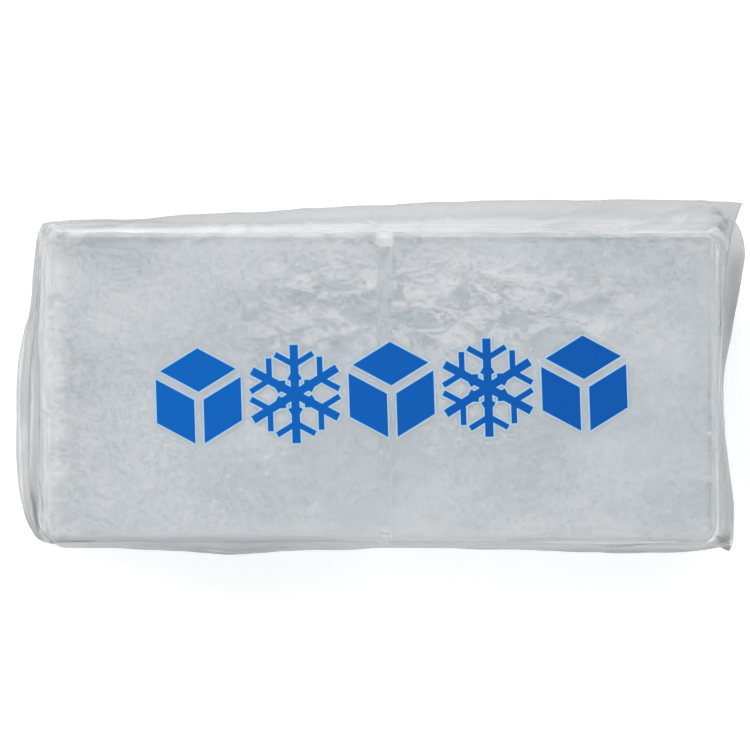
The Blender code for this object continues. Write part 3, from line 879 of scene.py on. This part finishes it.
class ICEPACK_OT_film_bag(bpy.types.Operator):
    """Make the creased film bag with its fins, ears and print"""

    bl_idname = "icepack.film_bag"
    bl_label = "Film bag"

    def execute(self, context):
        film = context.scene.icepack_film
        bag = skin_mesh("film_bag", *film_grid(film))
        bag.data.materials.append(film_finish(film, context.scene.icepack_print))
        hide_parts("bag")
        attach(bag, "root")
        return {"FINISHED"}


class ICEPACK_OT_studio(bpy.types.Operator):
    """Set up the pale floor, the soft light and the camera over the bag"""

    bl_idname = "icepack.studio"
    bl_label = "Studio"

    def execute(self, context):
        studio = context.scene.icepack_studio
        scene = context.scene
        scene.view_settings.view_transform = "Standard"

        half, under = 3.0, -0.05 * MM
        corners = [(-half, -half, under), (half, -half, under), (half, half, under), (-half, half, under)]
        mesh = bpy.data.meshes.new("floor")
        mesh.from_pydata(corners, [], [(0, 1, 2, 3)])
        floor = bpy.data.objects.new("floor", mesh)
        scene.collection.objects.link(floor)
        f = Finish("pale floor")
        shade = f.ramp(f.noise(f.places(), 0.4, 2), 0.3, 0.7)
        paper = f.node("BsdfPrincipled", Base_Color=f.blend(shade, (0.9, 0.9, 0.9), (0.92, 0.92, 0.92)),
                       Roughness=0.8, Emission_Color=(1, 1, 1), Emission_Strength=studio.glow)
        mesh.materials.append(f.finish(paper))

        world = bpy.data.worlds.new("studio")
        scene.world = world
        world.use_nodes = True
        nodes, links = world.node_tree.nodes, world.node_tree.links
        sky = nodes["Background"]
        sky.inputs["Color"].default_value = (1, 1, 1, 1)
        direction = nodes.new("ShaderNodeSeparateXYZ")
        links.new(nodes.new("ShaderNodeTexCoord").outputs["Generated"], direction.inputs[0])
        strength = studio.horizon
        for low, high, level in ((0.1, 0.5, studio.sky), (0.92, 0.99, studio.ceiling)):
            step = nodes.new("ShaderNodeMapRange")
            step.interpolation_type = "SMOOTHSTEP"
            step.inputs["From Min"].default_value, step.inputs["From Max"].default_value = low, high
            step.inputs["To Max"].default_value = level
            if isinstance(strength, bpy.types.NodeSocket):
                links.new(strength, step.inputs["To Min"])
            else:
                step.inputs["To Min"].default_value = strength
            links.new(direction.outputs["Z"], step.inputs["Value"])
            strength = step.outputs["Result"]
        links.new(strength, sky.inputs["Strength"])

        for name, place, size, power in (
            ("softbox", (-0.25, 1.0, 0.95), (1.0, 0.4), studio.softbox),
            ("side_light", (-1.15, 0.25, 0.55), (0.3, 0.6), studio.side_light),
        ):
            lamp = bpy.data.lights.new(name, "AREA")
            lamp.shape = "RECTANGLE"
            lamp.size, lamp.size_y = size
            lamp.energy = power
            stand = bpy.data.objects.new(name, lamp)
            stand.location = place
            aim = Vector((0, 0, 0.03)) - stand.location
            stand.rotation_euler = aim.to_track_quat("-Z", "Y").to_euler()
            scene.collection.objects.link(stand)

        picture_width, pixels_per_metre = 750, 2592
        target = Vector((-2.3 * MM, 4.05 * MM, FILM_TOP))
        lens = bpy.data.cameras.new("camera")
        lens.sensor_width = 36
        lens.lens = lens.sensor_width * studio.camera_distance * pixels_per_metre / picture_width
        lens.clip_end = 20
        camera = bpy.data.objects.new("camera", lens)
        back = Vector((0, -math.cos(studio.camera_height), math.sin(studio.camera_height)))
        camera.location = target + back * studio.camera_distance
        camera.rotation_euler = (-back).to_track_quat("-Z", "Y").to_euler()
        scene.collection.objects.link(camera)
        scene.camera = camera
        return {"FINISHED"}


class ICEPACK_PT_panel(bpy.types.Panel):
    """Lists the pieces of the bagged ice block and their settings"""

    bl_idname = "ICEPACK_PT_panel"
    bl_label = "Bagged Ice Block"
    bl_space_type = "VIEW_3D"
    bl_region_type = "UI"
    bl_category = "Ice Block"

    def draw(self, context):
        layout = self.layout
        for operator, settings in STEPS:
            box = layout.box()
            box.operator(operator)
            for name in settings:
                group = getattr(context.scene, name)
                for key in group.__annotations__:
                    box.prop(group, key)


STEPS = (
    ("icepack.studio", ("icepack_studio",)),
    ("icepack.ice_block", ("icepack_ice",)),
    ("icepack.film_bag", ("icepack_film", "icepack_print")),
)
SETTINGS = {
    "icepack_ice": IceSettings,
    "icepack_film": FilmSettings,
    "icepack_print": PrintSettings,
    "icepack_studio": StudioSettings,
}
CLASSES = (
    *SETTINGS.values(), ICEPACK_OT_ice_block, ICEPACK_OT_film_bag, ICEPACK_OT_studio, ICEPACK_PT_panel)


def register():
    for cls in CLASSES:
        bpy.utils.register_class(cls)
    for name, group in SETTINGS.items():
        setattr(bpy.types.Scene, name, PointerProperty(type=group))


def unregister():
    for name in SETTINGS:
        delattr(bpy.types.Scene, name)
    for cls in reversed(CLASSES):
        bpy.utils.unregister_class(cls)


def main():
    register()
    bpy.ops.icepack.studio()
    bpy.ops.icepack.ice_block()
    bpy.ops.icepack.film_bag()


if __name__ == "__main__":
    main()
